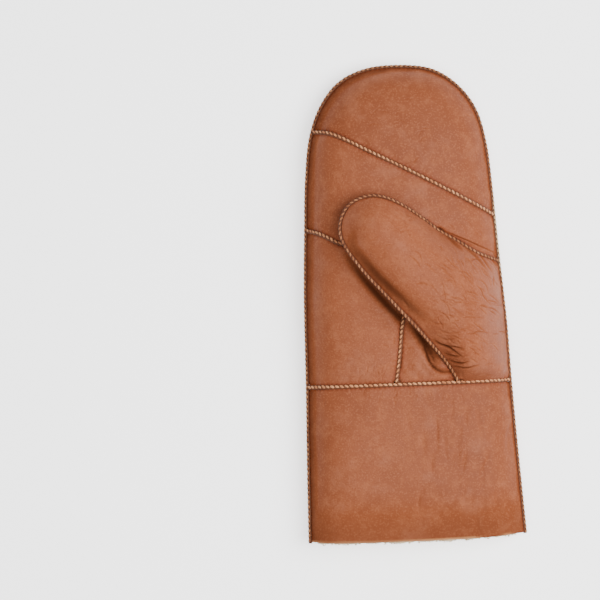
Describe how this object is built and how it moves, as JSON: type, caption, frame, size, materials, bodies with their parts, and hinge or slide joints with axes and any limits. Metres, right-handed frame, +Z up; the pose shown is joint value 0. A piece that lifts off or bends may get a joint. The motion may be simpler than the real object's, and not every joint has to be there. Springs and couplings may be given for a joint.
{
  "type": "leather mitten",
  "caption": "Sheepskin mitten lying palm up with its thumb folded across, sewn from leather panels with raised seams over a fleece lining.",
  "frame": {"origin": "on the surface that the mitten lies on, below the middle of its bounding box", "axes": "+Z up out of the palm, +Y towards the fingertips, +X towards the thumb side"},
  "size_m": [0.1307, 0.2798, 0.057],
  "materials": {
    "leather": "smooth satin nappa, cognac tan",
    "seam": "overcast seam edge, cream tan with rust thread",
    "rim_seam": "overcast seam edge, rust brown",
    "fleece": "curly cream wool pile"
  },
  "bodies": {
    "root": {"fingertip_panel": "leather", "finger_panel": "leather", "heel_panel": "leather", "thumb_front_panel": "leather", "thumb_back_panel": "leather", "back_thumb_side_panel": "leather", "back_outer_panel": "leather", "cuff_palm_panel": "leather", "cuff_back_panel": "leather", "hand_lining": "fleece", "thumb_lining": "fleece", "side_seam": "rim_seam", "fingertip_seam": "seam", "heel_seam": "seam", "thumb_seam": "seam", "gusset_seam": "seam", "wrist_seam_palm": "seam", "wrist_seam_back": "seam", "back_seam": "seam"}
  },
  "joints": []
}
